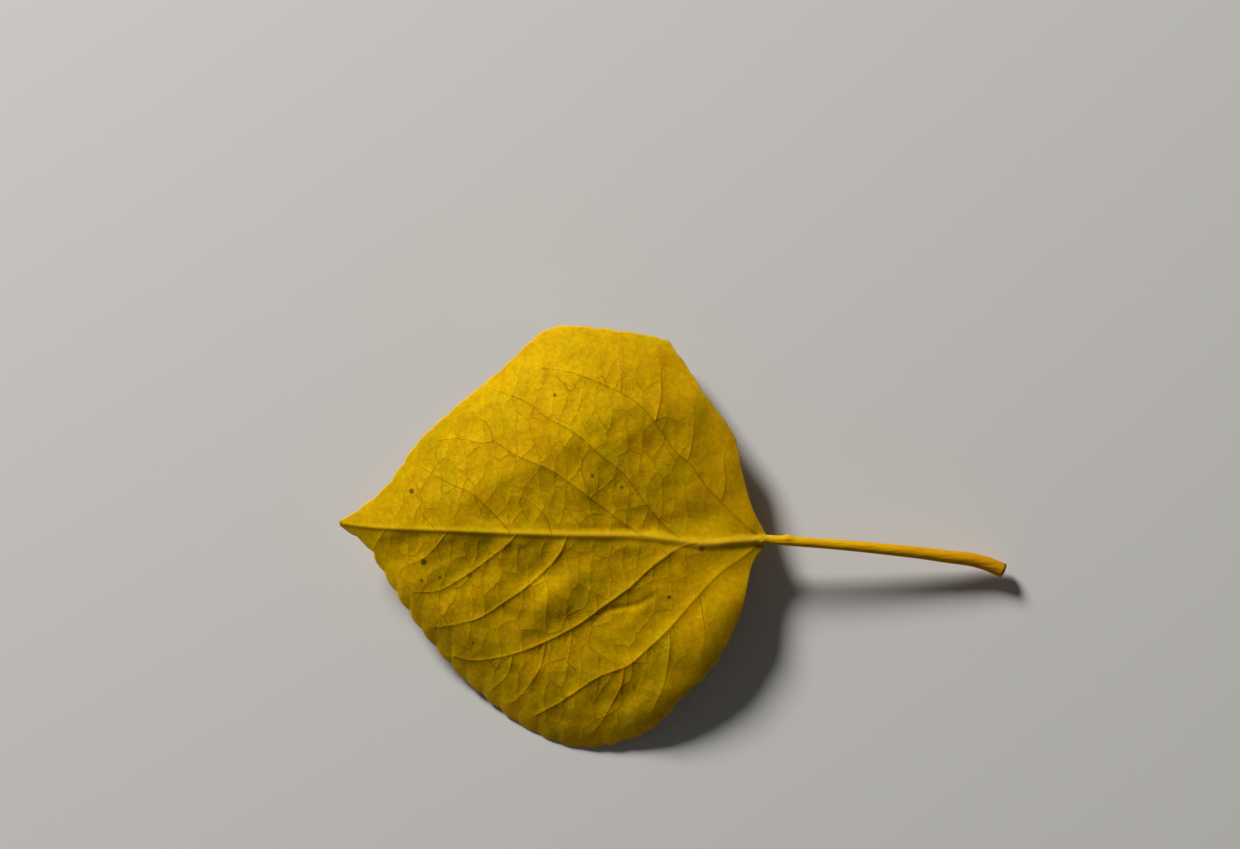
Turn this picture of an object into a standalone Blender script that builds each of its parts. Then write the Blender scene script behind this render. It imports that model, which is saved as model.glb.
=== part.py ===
"""A fallen poplar leaf in autumn yellow: one blade with its midrib, lateral veins and stalk, grown as one piece.

It lies face down, as fallen leaves often do, so its paler underside with the raised veins is on top.
The tip points to -X, the stalk to +X, and +Z is up. The leaf arches between the points that it rests on:
both side margins and the cut end of the stalk. Lengths below are in millimetres.

The outline, midrib and veins are drawn flat, from the blade's base at (0, 0), where the stalk joins it.
form_height() then lifts them onto the arched surface. At the end the leaf is moved so that the origin is the
middle of its box in X and Y, and the surface that it rests on in Z.
"""

import math

import bmesh
import bpy
import numpy as np
from mathutils import Matrix, Vector

MM = 0.001

# Driving dimensions.
BLADE_LENGTH = 51.0
BLADE_HALF_WIDTH = 25.0
BLADE_THICKNESS = 0.25
STALK_WIDTH_AT_BLADE = 1.15
STALK_DEPTH_AT_BLADE = 1.5
MIDRIB_RAISED_SHARE = 0.35
STALK_WIDTH_AT_END = 1.8
STALK_DEPTH_AT_END = 1.8
MIDRIB_WIDTH_AT_TIP = 0.35
LATERAL_WIDTH = 0.5
LATERAL_RAISED = 0.08
LATERAL_TAPER = 0.55
TOOTH_DEPTH = 0.28

# The margin from the base to the tip: left of the midrib, seen from the stalk, is -Y, and right is +Y.
TIP = (-BLADE_LENGTH, 2.0)
MARGIN_RIGHT = [
    (0.0, 0.4), (-1.7, 3.9), (-2.9, 8.3), (-3.9, 12.6), (-7.3, 17.4), (-11.0, 22.9), (-13.0, 24.3),
    (-22.5, 25.7), (-26.8, 25.1), (-31.5, 20.8), (-41.0, 12.6), (-45.5, 6.5), (-49.4, 3.2), TIP,
]
MARGIN_LEFT = [
    (0.0, -0.4), (-1.7, -3.2), (-3.1, -9.0), (-6.0, -15.0), (-9.8, -18.9), (-13.3, -22.8), (-17.6, -24.8),
    (-21.3, -25.4), (-25.2, -24.8), (-30.8, -21.8), (-37.3, -16.1), (-42.4, -9.7), (-46.2, -3.6),
    (-47.9, -0.8), (-49.4, 0.5), TIP,
]
MIDRIB = [
    (0.0, 0.0), (-3.5, -0.2), (-7.6, -0.45), (-11.5, 0.05), (-15.5, 0.5), (-24.8, 0.65), (-38.6, 1.15),
    (-47.0, 1.5), TIP,
]
STALK = [
    (0.0, 0.0), (4.1, -0.3), (10.2, -0.8), (17.9, -1.6), (22.0, -2.15), (24.8, -2.5), (26.9, -3.05),
    (28.9, -3.9),
]

# Lateral veins, each from its root in the midrib to where it fades, with its share of the full vein width.
LATERALS = {
    "right_basal": (1.0, [
        (-0.3, 0.2), (-4.3, 3.5), (-9.1, 9.1), (-13.5, 14.4), (-19.1, 18.4), (-24.5, 20.4),
    ]),
    "right_second": (0.9, [(-10.5, 0.3), (-15.7, 6.4), (-21.1, 11.6), (-26.1, 15.2), (-32.3, 18.0)]),
    "right_third": (0.9, [(-14.9, 0.5), (-21.7, 5.6), (-28.0, 9.2), (-32.5, 11.8), (-36.2, 15.8)]),
    "right_fourth": (0.7, [(-30.7, 1.0), (-33.7, 4.6), (-37.8, 7.1), (-41.5, 9.2)]),
    "left_basal": (1.0, [
        (-0.3, -0.2), (-5.8, -5.4), (-10.0, -11.6), (-16.2, -15.9), (-23.0, -19.3), (-28.0, -21.6),
    ]),
    "left_second": (1.0, [
        (-8.4, -0.3), (-13.6, -3.3), (-19.4, -8.0), (-26.6, -12.5), (-32.2, -14.5), (-36.8, -14.4),
    ]),
    "left_third": (0.9, [(-23.8, 0.4), (-26.6, -4.0), (-31.0, -7.4), (-36.0, -10.1), (-39.4, -10.6)]),
    "left_fourth": (0.8, [(-29.8, 0.7), (-33.8, -3.0), (-37.8, -5.8), (-41.6, -6.3)]),
    "left_fifth": (0.6, [(-38.1, 0.9), (-41.0, -2.0), (-43.6, -3.4)]),
}

# The arched form. The slopes beside the midrib and the droop of each margin change along the blade, so
# each is given at these places from the tip to the base. Beside the midrib, a plus slope rises outwards.
FORM_PLACES = (-48.0, -36.0, -24.0, -12.0, 0.0)
SLOPE_RIGHT = (-0.33, -0.09, 0.18, 0.09, -0.06)
SLOPE_LEFT = (-0.2, -0.19, -0.145, -0.03, 0.02)
DROOP_RIGHT = (4.0, 9.0, 10.6, 6.0, 3.0)
DROOP_LEFT = (2.5, 3.1, 2.4, 4.4, 6.0)
DROOP_POWER = 2.9
FOLD_ROUNDING = 0.5
CROWN_PLACE = -24.0
CROWN_DROP_AT_TIP = 0.9
CROWN_DROP_AT_BASE = 1.8
STALK_END_DROP = 3.4
STALK_SAG_POWER = 1.4
STALK_SWELL_POWER = 1.6

# How finely the faces follow the form.
TEETH_PER_SIDE = 28
RIBS_PER_TOOTH = 3
ROWS_PER_SIDE = 8
STALK_RINGS = 16
MIDRIB_RINGS = 22
RING_SIDES = 12
RIBS_WITH_FADED_TEETH = 6
TOOTH_LEAN = 0.5
SAMPLES_PER_SPAN = 24
SAMPLES_ALONG_A_GRAPH = 200
SAMPLES_ALONG_THE_MIDRIB = 400

# Points nearer than these are joined: ribs crowd where the blade meets the stalk, and caps are loose.
BLADE_WELD = 0.06
CAP_WELD = 0.01

LEAF_YELLOW = (0.74, 0.42, 0.004, 1.0)


def clear_scene():
    for obj in list(bpy.data.objects):
        bpy.data.objects.remove(obj)


def new_collection(name, hidden=False):
    made = bpy.data.collections.new(name)
    made.hide_render = hidden
    bpy.context.scene.collection.children.link(made)
    return made


def smooth_curve(points, count):
    """`count` points at even spacing along a smooth curve through `points`."""
    knots = np.array(points, float)
    ends = [2 * knots[0] - knots[1], 2 * knots[-1] - knots[-2]]
    padded = np.vstack([ends[0], knots, ends[1]])
    share = np.linspace(0.0, 1.0, SAMPLES_PER_SPAN, endpoint=False)[:, None]
    pieces = []
    for before, start, end, after in zip(padded, padded[1:], padded[2:], padded[3:], strict=False):
        bend = 2 * before - 5 * start + 4 * end - after
        twist = 3 * start - before - 3 * end + after
        pieces.append(0.5 * (2 * start + (end - before) * share + bend * share**2 + twist * share**3))
    fine = np.vstack([*pieces, knots[-1:]])
    lengths = np.concatenate([[0.0], np.cumsum(np.linalg.norm(np.diff(fine, axis=0), axis=1))])
    places = np.linspace(0.0, lengths[-1], count)
    return np.column_stack([np.interp(places, lengths, fine[:, axis]) for axis in (0, 1)])


def smooth_between(x, places, values):
    """Reads a smooth curve through `values`, given at rising `places`."""
    line = smooth_curve(list(zip(places, values, strict=True)), SAMPLES_ALONG_A_GRAPH)
    return np.interp(x, line[:, 0], line[:, 1])


def midrib_y(x):
    """Where the midrib runs at each x."""
    places, values = zip(*MIDRIB[::-1], strict=True)
    return smooth_between(x, places, values)


def form_height(x, y):
    """Height of the blade's upper face above its crown, at a flat place."""
    aside = y - midrib_y(x)
    away = np.sqrt(aside**2 + FOLD_ROUNDING**2) - FOLD_ROUNDING
    reach = away / BLADE_HALF_WIDTH
    slope = np.where(
        aside > 0, smooth_between(x, FORM_PLACES, SLOPE_RIGHT), smooth_between(x, FORM_PLACES, SLOPE_LEFT)
    )
    droop = np.where(
        aside > 0, smooth_between(x, FORM_PLACES, DROOP_RIGHT), smooth_between(x, FORM_PLACES, DROOP_LEFT)
    )
    along = x - CROWN_PLACE
    tipward = CROWN_DROP_AT_TIP * (np.minimum(along, 0.0) / (BLADE_LENGTH + CROWN_PLACE)) ** 2
    baseward = CROWN_DROP_AT_BASE * (np.maximum(along, 0.0) / CROWN_PLACE) ** 2
    return slope * away - droop * reach**DROOP_POWER - tipward - baseward


def with_teeth(margin, outward):
    """The margin pushed in between its small rounded teeth, which lean towards the tip."""
    run = np.gradient(margin, axis=0)
    run /= np.linalg.norm(run, axis=1)[:, None]
    normal = np.column_stack([-run[:, 1], run[:, 0]]) * outward
    ribs = np.arange(len(margin))
    phase = ribs / RIBS_PER_TOOTH * math.pi
    fade = np.minimum(1.0, np.minimum(ribs, ribs[::-1]) / RIBS_WITH_FADED_TEETH)
    notch = 1.0 - np.abs(np.sin(phase - TOOTH_LEAN))
    return margin - normal * (TOOTH_DEPTH * notch * fade)[:, None]


def blade_object(collection):
    """The blade: two halves of a grid spread between the midrib and each margin, given their thickness."""
    ribs = TEETH_PER_SIDE * RIBS_PER_TOOTH + 1
    midrib = smooth_curve(MIDRIB, SAMPLES_ALONG_THE_MIDRIB)
    start = np.linspace(0, len(midrib) - 1, ribs).round().astype(int)
    margins = {
        1: with_teeth(smooth_curve(MARGIN_RIGHT, ribs), -1.0),
        -1: with_teeth(smooth_curve(MARGIN_LEFT, ribs), 1.0),
    }
    mesh = bpy.data.meshes.new("blade")
    bm = bmesh.new()
    bmesh.ops.create_grid(bm, x_segments=ribs - 1, y_segments=2 * ROWS_PER_SIDE, size=1.0)
    for vert in bm.verts:
        rib = round((vert.co.x + 1.0) / 2.0 * (ribs - 1))
        side = 1 if vert.co.y >= 0 else -1
        root, edge = midrib[start[rib]], margins[side][rib]
        flat = root + (edge - root) * abs(vert.co.y)
        vert.co = Vector((*flat, float(form_height(*flat)))) * MM
    bmesh.ops.remove_doubles(bm, verts=bm.verts, dist=BLADE_WELD * MM)
    bmesh.ops.recalc_face_normals(bm, faces=bm.faces)
    if sum(face.normal.z for face in bm.faces) < 0:
        bmesh.ops.reverse_faces(bm, faces=bm.faces)
    bm.to_mesh(mesh)
    bm.free()
    blade = bpy.data.objects.new("leaf", mesh)
    collection.objects.link(blade)
    skin = blade.modifiers.new("thickness", "SOLIDIFY")
    skin.thickness = BLADE_THICKNESS * MM
    skin.offset = -1.0
    return blade


def loft_object(name, rings, collection):
    """A closed body through rings of points, with a flat face at each end."""
    bm = bmesh.new()
    loops = [[bm.verts.new(point) for point in ring] for ring in rings]
    for lower, upper in zip(loops, loops[1:], strict=False):
        for i, corner in enumerate(lower):
            after = (i + 1) % len(lower)
            bm.faces.new((corner, lower[after], upper[after], upper[i]))
    bm.faces.new(loops[0][::-1])
    bm.faces.new(loops[-1])
    bmesh.ops.recalc_face_normals(bm, faces=bm.faces)
    mesh = bpy.data.meshes.new(name)
    bm.to_mesh(mesh)
    bm.free()
    obj = bpy.data.objects.new(name, mesh)
    collection.objects.link(obj)
    return obj


def oval_ring(centre, heading, width, depth):
    """An upright oval of points square to the heading, which lies near level."""
    heading = heading.normalized()
    sideways = Vector((0.0, 0.0, 1.0)).cross(heading).normalized()
    upright = heading.cross(sideways)
    turns = [2 * math.pi * i / RING_SIDES for i in range(RING_SIDES)]
    return [
        centre + sideways * (width / 2 * math.cos(turn)) + upright * (depth / 2 * math.sin(turn)) for turn in turns
    ]


def stalk_object(collection):
    """The stalk and the midrib that carries it on through the blade. Beside the blade the stalk is flattened
    from its sides, so it is deeper than wide, and it rounds out towards its cut end."""
    stalk = smooth_curve(STALK, STALK_RINGS)[::-1]
    midrib = smooth_curve(MIDRIB, MIDRIB_RINGS)[1:-1]
    sunk_share = 0.5 - MIDRIB_RAISED_SHARE
    join_height = float(form_height(0.0, 0.0)) - sunk_share * STALK_DEPTH_AT_BLADE
    centres, sizes = [], []
    for i, (x, y) in enumerate(stalk):
        out = 1.0 - i / (STALK_RINGS - 1)
        swell = out**STALK_SWELL_POWER
        width = STALK_WIDTH_AT_BLADE + (STALK_WIDTH_AT_END - STALK_WIDTH_AT_BLADE) * swell
        depth = STALK_DEPTH_AT_BLADE + (STALK_DEPTH_AT_END - STALK_DEPTH_AT_BLADE) * swell
        centres.append((x, y, join_height - STALK_END_DROP * out**STALK_SAG_POWER))
        sizes.append((width, depth))
    for i, (x, y) in enumerate(midrib):
        left = 1.0 - (i + 1) / MIDRIB_RINGS
        width = MIDRIB_WIDTH_AT_TIP + (STALK_WIDTH_AT_BLADE - MIDRIB_WIDTH_AT_TIP) * left
        depth = MIDRIB_WIDTH_AT_TIP + (STALK_DEPTH_AT_BLADE - MIDRIB_WIDTH_AT_TIP) * left**2
        centres.append((x, y, float(form_height(x, y)) - sunk_share * depth))
        sizes.append((width, depth))
    path = [Vector(centre) * MM for centre in centres]
    rings = []
    for i, centre in enumerate(path):
        heading = path[min(i + 1, len(path) - 1)] - path[max(i - 1, 0)]
        rings.append(oval_ring(centre, heading, sizes[i][0] * MM, sizes[i][1] * MM))
    return loft_object("stalk_and_midrib", rings, collection)


def lateral_object(name, share, points, collection):
    """One lateral vein: a tapering round cord half sunk in the blade's upper face."""
    width = LATERAL_WIDTH * share
    places = smooth_curve(points, 4 * len(points) - 3)
    curve = bpy.data.curves.new(name, "CURVE")
    curve.dimensions = "3D"
    curve.bevel_depth = width / 2 * MM
    curve.bevel_resolution = 1
    curve.use_fill_caps = True
    spline = curve.splines.new("POLY")
    spline.points.add(len(places) - 1)
    for i, (x, y) in enumerate(places):
        height = float(form_height(x, y)) + LATERAL_RAISED
        spline.points[i].co = (x * MM, y * MM, height * MM, 1.0)
        spline.points[i].radius = 1.0 - LATERAL_TAPER * i / (len(places) - 1)
    cord = bpy.data.objects.new(name + "_line", curve)
    collection.objects.link(cord)
    graph = bpy.context.evaluated_depsgraph_get()
    mesh = bpy.data.meshes.new_from_object(cord.evaluated_get(graph))
    bm = bmesh.new()
    bm.from_mesh(mesh)
    bmesh.ops.remove_doubles(bm, verts=bm.verts, dist=CAP_WELD * MM)
    bmesh.ops.recalc_face_normals(bm, faces=bm.faces)
    bm.to_mesh(mesh)
    bm.free()
    vein = bpy.data.objects.new(name, mesh)
    vein.matrix_world = cord.matrix_world
    bpy.data.objects.remove(cord)
    collection.objects.link(vein)
    return vein


def leaf_material():
    material = bpy.data.materials.new("autumn_leaf")
    material.use_nodes = True
    surface = material.node_tree.nodes["Principled BSDF"]
    surface.inputs["Base Color"].default_value = LEAF_YELLOW
    surface.inputs["Roughness"].default_value = 0.6
    surface.inputs["Metallic"].default_value = 0.0
    return material


def centre_on_ground(leaf, ribs):
    """Moves the flat drawing's frame so that the origin is under the middle of the finished leaf."""
    bpy.context.view_layer.update()
    finished = leaf.evaluated_get(bpy.context.evaluated_depsgraph_get())
    corners = np.array([vert.co for vert in finished.data.vertices])
    low, high = corners.min(axis=0), corners.max(axis=0)
    move = Matrix.Translation((-(low[0] + high[0]) / 2, -(low[1] + high[1]) / 2, -low[2]))
    for obj in [leaf, *ribs]:
        obj.data.transform(move)


def main():
    clear_scene()
    parts = new_collection("yellow_autumn_leaf")
    joined = new_collection("joined_to_the_blade", hidden=True)
    leaf = blade_object(parts)
    ribs = [stalk_object(joined)]
    ribs += [lateral_object(name, share, points, joined) for name, (share, points) in LATERALS.items()]
    for rib in ribs:
        rib.hide_render = True
        rib.display_type = "WIRE"
    join = leaf.modifiers.new("veins_and_stalk", "BOOLEAN")
    join.operation = "UNION"
    join.operand_type = "COLLECTION"
    join.collection = joined
    join.solver = "EXACT"
    leaf.data.materials.append(leaf_material())
    leaf.data.shade_smooth()
    centre_on_ground(leaf, ribs)


main()
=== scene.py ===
"""The look of a fallen poplar leaf in autumn yellow, lying with its veined underside up.

The whole leaf is one closed mesh, drawn flat in millimetres from the blade's base, where the stalk joins
it: the tip is at -X and the stalk at +X. form_height() lifts it onto its arched form, the veins are raised
on that, and the result is placed in the solid's box. Right and left are as seen from the stalk: right is +Y.
"""

import math

import bmesh
import bpy
import numpy as np
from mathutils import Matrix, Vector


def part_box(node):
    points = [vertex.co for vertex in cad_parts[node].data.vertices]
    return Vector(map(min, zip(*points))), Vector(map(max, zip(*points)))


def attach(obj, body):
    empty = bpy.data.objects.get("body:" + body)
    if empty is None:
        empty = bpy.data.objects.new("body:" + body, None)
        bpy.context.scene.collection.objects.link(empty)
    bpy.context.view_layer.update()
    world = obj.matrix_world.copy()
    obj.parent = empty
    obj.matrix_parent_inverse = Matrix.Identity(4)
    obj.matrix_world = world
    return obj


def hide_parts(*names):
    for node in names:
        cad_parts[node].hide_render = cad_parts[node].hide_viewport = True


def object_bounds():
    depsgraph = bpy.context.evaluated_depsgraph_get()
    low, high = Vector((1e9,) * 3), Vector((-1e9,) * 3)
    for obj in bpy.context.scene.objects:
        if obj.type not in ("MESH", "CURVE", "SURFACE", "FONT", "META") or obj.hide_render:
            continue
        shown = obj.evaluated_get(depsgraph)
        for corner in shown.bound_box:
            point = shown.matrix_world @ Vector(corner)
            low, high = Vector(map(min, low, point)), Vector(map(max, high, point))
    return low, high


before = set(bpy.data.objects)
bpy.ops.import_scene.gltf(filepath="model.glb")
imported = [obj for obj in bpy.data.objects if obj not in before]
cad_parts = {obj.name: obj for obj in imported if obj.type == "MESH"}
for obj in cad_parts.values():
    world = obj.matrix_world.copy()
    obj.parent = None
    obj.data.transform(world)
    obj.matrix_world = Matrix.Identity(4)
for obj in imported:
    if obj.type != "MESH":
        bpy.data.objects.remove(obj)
cad_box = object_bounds()

MM = 0.001

# The leaf's outline and axis, in millimetres.
BLADE_LENGTH = 51.0
BLADE_HALF_WIDTH = 25.0
BLADE_THICKNESS = 0.25
STALK_WIDTH_AT_BLADE = 1.15
STALK_DEPTH_AT_BLADE = 1.5
STALK_WIDTH_AT_END = 1.8
STALK_DEPTH_AT_END = 1.8
MIDRIB_WIDTH_AT_TIP = 0.35
MIDRIB_RAISED_SHARE = 0.35
TIP_Y = 2.0
TIP_HALF_WIDTH = 0.28
BASE_HALF_WIDTH = STALK_WIDTH_AT_BLADE / 2
MARGIN_RIGHT = [
    (0.0, BASE_HALF_WIDTH), (-1.7, 3.9), (-2.9, 8.3), (-3.9, 12.6), (-7.3, 17.4), (-11.0, 22.9),
    (-13.0, 24.3), (-22.5, 25.7), (-26.8, 25.1), (-31.5, 20.8), (-41.0, 12.6), (-45.5, 6.5),
    (-49.4, 3.25), (-BLADE_LENGTH, TIP_Y + TIP_HALF_WIDTH),
]
MARGIN_LEFT = [
    (0.0, -BASE_HALF_WIDTH), (-1.7, -3.2), (-3.1, -9.0), (-6.0, -15.0), (-9.8, -18.9), (-13.3, -22.8),
    (-17.6, -24.8), (-21.3, -25.4), (-25.2, -24.8), (-30.8, -21.8), (-37.3, -16.1), (-42.4, -9.7),
    (-46.2, -3.6), (-47.9, -0.8), (-49.4, 0.45), (-BLADE_LENGTH, TIP_Y - TIP_HALF_WIDTH),
]
MIDRIB = [
    (0.0, 0.0), (-3.5, -0.2), (-7.6, -0.45), (-11.5, 0.05), (-15.5, 0.5), (-24.8, 0.65), (-38.6, 1.15),
    (-47.0, 1.5), (-BLADE_LENGTH, TIP_Y),
]
STALK = [
    (0.0, 0.0), (4.1, -0.3), (10.2, -0.8), (17.9, -1.6), (22.0, -2.15), (24.8, -2.5), (26.9, -3.05),
    (28.9, -3.9),
]
STALK_SWELL_POWER = 1.6
STALK_GROOVE_DEPTH = 0.05
STALK_GROOVE_SPREAD = 0.35
SCAR_HOLLOW = 0.3
RIM_BULGE = 0.07
RIM_ROOT_DROP = 0.05
TIP_OVERHANG = 0.1

# The small swelling on the stalk's right side, just past the blade.
NUB_X = 2.6
NUB_SPREAD = 0.7
NUB_TURN = 0.4
NUB_RISE = 0.45

# The teeth of the margin. They begin, grow and end between these shares of its length from the base.
TEETH_PER_SIDE = 28
TOOTH_DEPTH_RIGHT = 0.16
TOOTH_DEPTH_LEFT = 0.28
TIP_TEETH_MORE = 0.3
TOOTH_UNEVENNESS = 0.25
TOOTH_RHYTHM = 61.0
TOOTH_LEAN = 0.5
TEETH_BEGIN = (0.08, 0.2)
TIP_TEETH_GROW = (0.7, 0.9)
TEETH_END = (0.96, 1.0)

# The veins that branch from the midrib and from each other: width at the root, width at the end, route.
VEINS = {
    "right_basal": (0.42, 0.16, [
        (-0.3, 0.2), (-2.5, 1.7), (-5.3, 4.5), (-7.3, 6.5), (-9.1, 9.1), (-11.1, 10.8), (-13.5, 14.3),
        (-15.9, 16.7), (-19.1, 18.4), (-23.3, 20.0), (-27.0, 20.6),
    ]),
    "right_basal_outer_1": (0.22, 0.1, [(-17.4, 17.6), (-17.3, 19.5), (-17.6, 22.0)]),
    "right_basal_outer_2": (0.24, 0.1, [(-13.2, 14.3), (-12.6, 17.0), (-12.6, 20.7), (-13.2, 22.4)]),
    "right_basal_outer_3": (0.22, 0.1, [(-9.3, 9.6), (-8.7, 12.5), (-8.6, 16.2)]),
    "right_basal_outer_4": (0.2, 0.1, [(-5.2, 4.8), (-4.8, 7.0), (-5.0, 9.7), (-4.5, 11.5)]),
    "right_second": (0.38, 0.14, [
        (-10.5, 0.3), (-12.3, 1.8), (-14.7, 4.7), (-16.9, 7.7), (-20.1, 10.4), (-23.1, 12.9), (-26.2, 14.6),
        (-28.7, 16.5), (-32.8, 18.0),
    ]),
    "right_third": (0.36, 0.2, [
        (-14.9, 0.5), (-17.5, 2.3), (-21.7, 5.5), (-25.7, 8.3), (-29.5, 9.9), (-32.6, 11.8),
    ]),
    "right_third_upper_fork": (0.2, 0.1, [(-32.6, 11.8), (-33.5, 13.9), (-35.5, 15.4)]),
    "right_third_lower_fork": (0.2, 0.1, [(-32.6, 11.8), (-34.3, 11.6), (-37.0, 12.1), (-39.4, 11.9)]),
    "right_third_twig": (0.12, 0.08, [(-36.9, 12.1), (-37.6, 13.4), (-38.6, 14.2)]),
    "right_fourth": (0.28, 0.1, [(-30.7, 1.0), (-32.2, 2.7), (-35.2, 5.5), (-38.2, 6.9), (-42.7, 9.4)]),
    "right_short": (0.2, 0.1, [(-25.7, 0.8), (-26.5, 2.9), (-28.7, 4.9), (-31.0, 5.4)]),
    "right_last": (0.18, 0.08, [(-39.6, 1.3), (-41.3, 3.3), (-41.9, 5.7)]),
    "left_basal": (0.45, 0.18, [
        (-0.3, -0.2), (-2.9, -2.2), (-5.8, -4.3), (-8.9, -7.6), (-11.5, -10.6), (-13.9, -12.9),
        (-16.6, -15.2), (-19.9, -16.5), (-22.6, -18.3), (-25.0, -19.9), (-27.7, -21.4),
    ]),
    "left_basal_outer_1": (0.26, 0.1, [(-17.0, -15.5), (-17.4, -17.8), (-19.6, -21.9), (-20.9, -23.5)]),
    "left_basal_outer_2": (0.24, 0.1, [(-11.5, -10.8), (-11.5, -12.9), (-12.1, -17.1), (-13.6, -20.7)]),
    "left_basal_outer_3": (0.22, 0.1, [(-8.0, -6.7), (-7.3, -11.2), (-7.7, -13.6)]),
    "left_second": (0.42, 0.18, [
        (-8.4, -0.3), (-10.6, -1.1), (-13.6, -3.2), (-16.3, -5.7), (-19.3, -7.9), (-22.1, -10.0),
        (-25.1, -11.7), (-28.7, -13.3), (-32.2, -14.3), (-35.3, -14.7), (-37.6, -14.2),
    ]),
    "left_second_outer_1": (0.24, 0.1, [(-26.4, -12.3), (-27.2, -15.7), (-29.8, -19.3), (-31.3, -20.0)]),
    "left_second_outer_2": (0.22, 0.1, [(-30.4, -13.9), (-31.0, -16.3), (-33.1, -18.4)]),
    "left_second_outer_3": (0.2, 0.1, [(-23.2, -10.7), (-23.5, -13.3), (-24.0, -15.9)]),
    "left_third": (0.36, 0.14, [
        (-23.8, 0.4), (-25.0, -2.1), (-28.1, -5.2), (-31.0, -7.3), (-34.3, -9.4), (-37.6, -10.3),
        (-39.8, -10.6),
    ]),
    "left_third_link": (0.14, 0.12, [(-26.6, -4.0), (-25.6, -7.4), (-23.5, -9.7)]),
    "left_fourth": (0.32, 0.14, [
        (-29.8, 0.7), (-30.9, -0.5), (-33.7, -2.7), (-36.4, -4.6), (-39.4, -6.2), (-42.2, -6.3),
    ]),
    "left_fifth": (0.24, 0.1, [(-38.1, 0.9), (-40.7, -2.0), (-43.3, -3.2), (-44.1, -4.1)]),
    "left_last": (0.2, 0.1, [(-45.5, 1.3), (-46.9, -0.8), (-47.1, -1.6)]),
}

# A short sharp crease between two side veins on the left.
CREASE = [(-20.8, -9.1), (-18.0, -8.3), (-15.3, -7.8), (-12.6, -6.2)]
CREASE_DEPTH = 0.2
CREASE_SPREAD = 0.45

# Broad ridges and hollows: rise, spread, and the line each follows.
ROLLS = [
    (-0.7, 6.0, [(-36.0, -14.0), (-30.0, -14.8), (-22.0, -15.0)]),
    (0.55, 2.7, [(-2.6, -6.2), (-5.5, -11.0), (-9.5, -16.0), (-14.2, -20.4)]),
    (0.5, 2.8, [(-41.5, -5.5), (-37.6, -9.6), (-32.8, -13.6), (-27.5, -17.6)]),
    (-0.6, 2.6, [(-27.0, -12.2), (-23.5, -10.2), (-20.5, -9.0)]),
    (0.35, 1.8, [(-26.5, -7.0), (-24.0, -5.6), (-21.8, -4.2)]),
    (0.45, 2.6, [(-5.0, -8.0), (-9.0, -11.8), (-14.0, -14.4), (-20.0, -15.6)]),
    (-0.55, 2.4, [(-32.0, -8.6), (-29.0, -6.6), (-26.5, -4.0)]),
    (-0.4, 2.0, [(-39.0, -6.2), (-36.0, -4.6), (-33.5, -2.4)]),
    (-0.5, 2.2, [(-18.5, 3.2), (-13.0, 1.8), (-7.0, 2.4)]),
    (0.5, 2.8, [(-38.0, 4.5), (-30.0, 8.2), (-23.0, 12.0), (-16.0, 14.6), (-9.5, 15.5)]),
    (0.3, 1.8, [(-3.6, 10.0), (-5.2, 15.0), (-9.0, 20.6), (-12.5, 24.0)]),
]

# The left margin rolls toward the ground. The roll grows between two distances from the base, and sets in
# between two distances aside from the midrib.
LEFT_ROLL_TIPWARD = 1.2
LEFT_ROLL_BASEWARD = 0.2
LEFT_ROLL_SPREAD = 3.2
LEFT_ROLL_GROWS = (12.0, 28.0)
LEFT_ROLL_SETS_IN = (1.0, 12.0)

# Faint ripples: length, heading in degrees, height and phase of each.
RIPPLES = [(7.1, 75.0, 0.03, 1.9), (5.3, 130.0, 0.025, 4.1)]

# The arched form, the same as the solid's.
FORM_PLACES = (-48.0, -36.0, -24.0, -12.0, 0.0)
SLOPE_RIGHT = (-0.33, -0.09, 0.18, 0.09, -0.06)
SLOPE_LEFT = (-0.2, -0.19, -0.145, -0.03, 0.02)
DROOP_RIGHT = (4.0, 9.0, 10.6, 6.0, 3.0)
DROOP_LEFT = (2.5, 3.1, 2.4, 4.4, 6.0)
DROOP_POWER = 2.9
FOLD_ROUNDING = 0.5
CROWN_PLACE = -24.0
CROWN_DROP_AT_TIP = 0.9
CROWN_DROP_AT_BASE = 1.8
STALK_END_DROP = 3.4
STALK_SAG_POWER = 1.4

# The relief of the veins on the upturned face. A vein is a cord on two flanks, each a share of the vein's
# own width in height, and both are softer toward the base.
CORD_HEIGHT = 0.16
CORD_SPREAD = 0.6
FLANK_HEIGHT = 0.8
FLANK_SPREAD = 0.85
FLANK_REACH = 5.0 * FLANK_SPREAD
SOFTER_FROM_TO = (-14.0, -5.0)
CREST_ROUNDING = 0.1
BASE_CREST_ROUNDING = 0.5
BASE_CORD_SHARE = 0.3
MIDRIB_FLANK_RIGHT = 0.3
MIDRIB_SPREAD_RIGHT = 1.5
MIDRIB_FLANK_LEFT = 0.9
MIDRIB_SPREAD_LEFT = 2.2
ROOT_FADE = 1.3
MIDRIB_RIDGE_SPREAD = 1.2
MIDRIB_SHOULDER = 3.0
MIDRIB_STANDING = 0.5
BLADE_BEGINS = (0.0, 2.0)
ROOT_CLEARANCE = 0.05
ROOT_ROUNDING = 0.1

# What a place far from every vein, or off the blade, is given.
NO_VEIN_OFFSET = 9.0
NO_VEIN_HALF_WIDTH = 0.1
FAR_FROM_MIDRIB = 9.0

# The fine net of veins between them: each mesh of the net is longer across the midrib than along it.
NET_MESH_ALONG = 1.9
NET_MESH_ACROSS = 4.2
NET_HEIGHT = 0.07
NET_CREST_SHARE = 0.22
FINE_MESH = 0.95
NET_RANDOMNESS = 0.9
NET_WANDER = ((0.16, 2.4), (0.9, 0.4))

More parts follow.
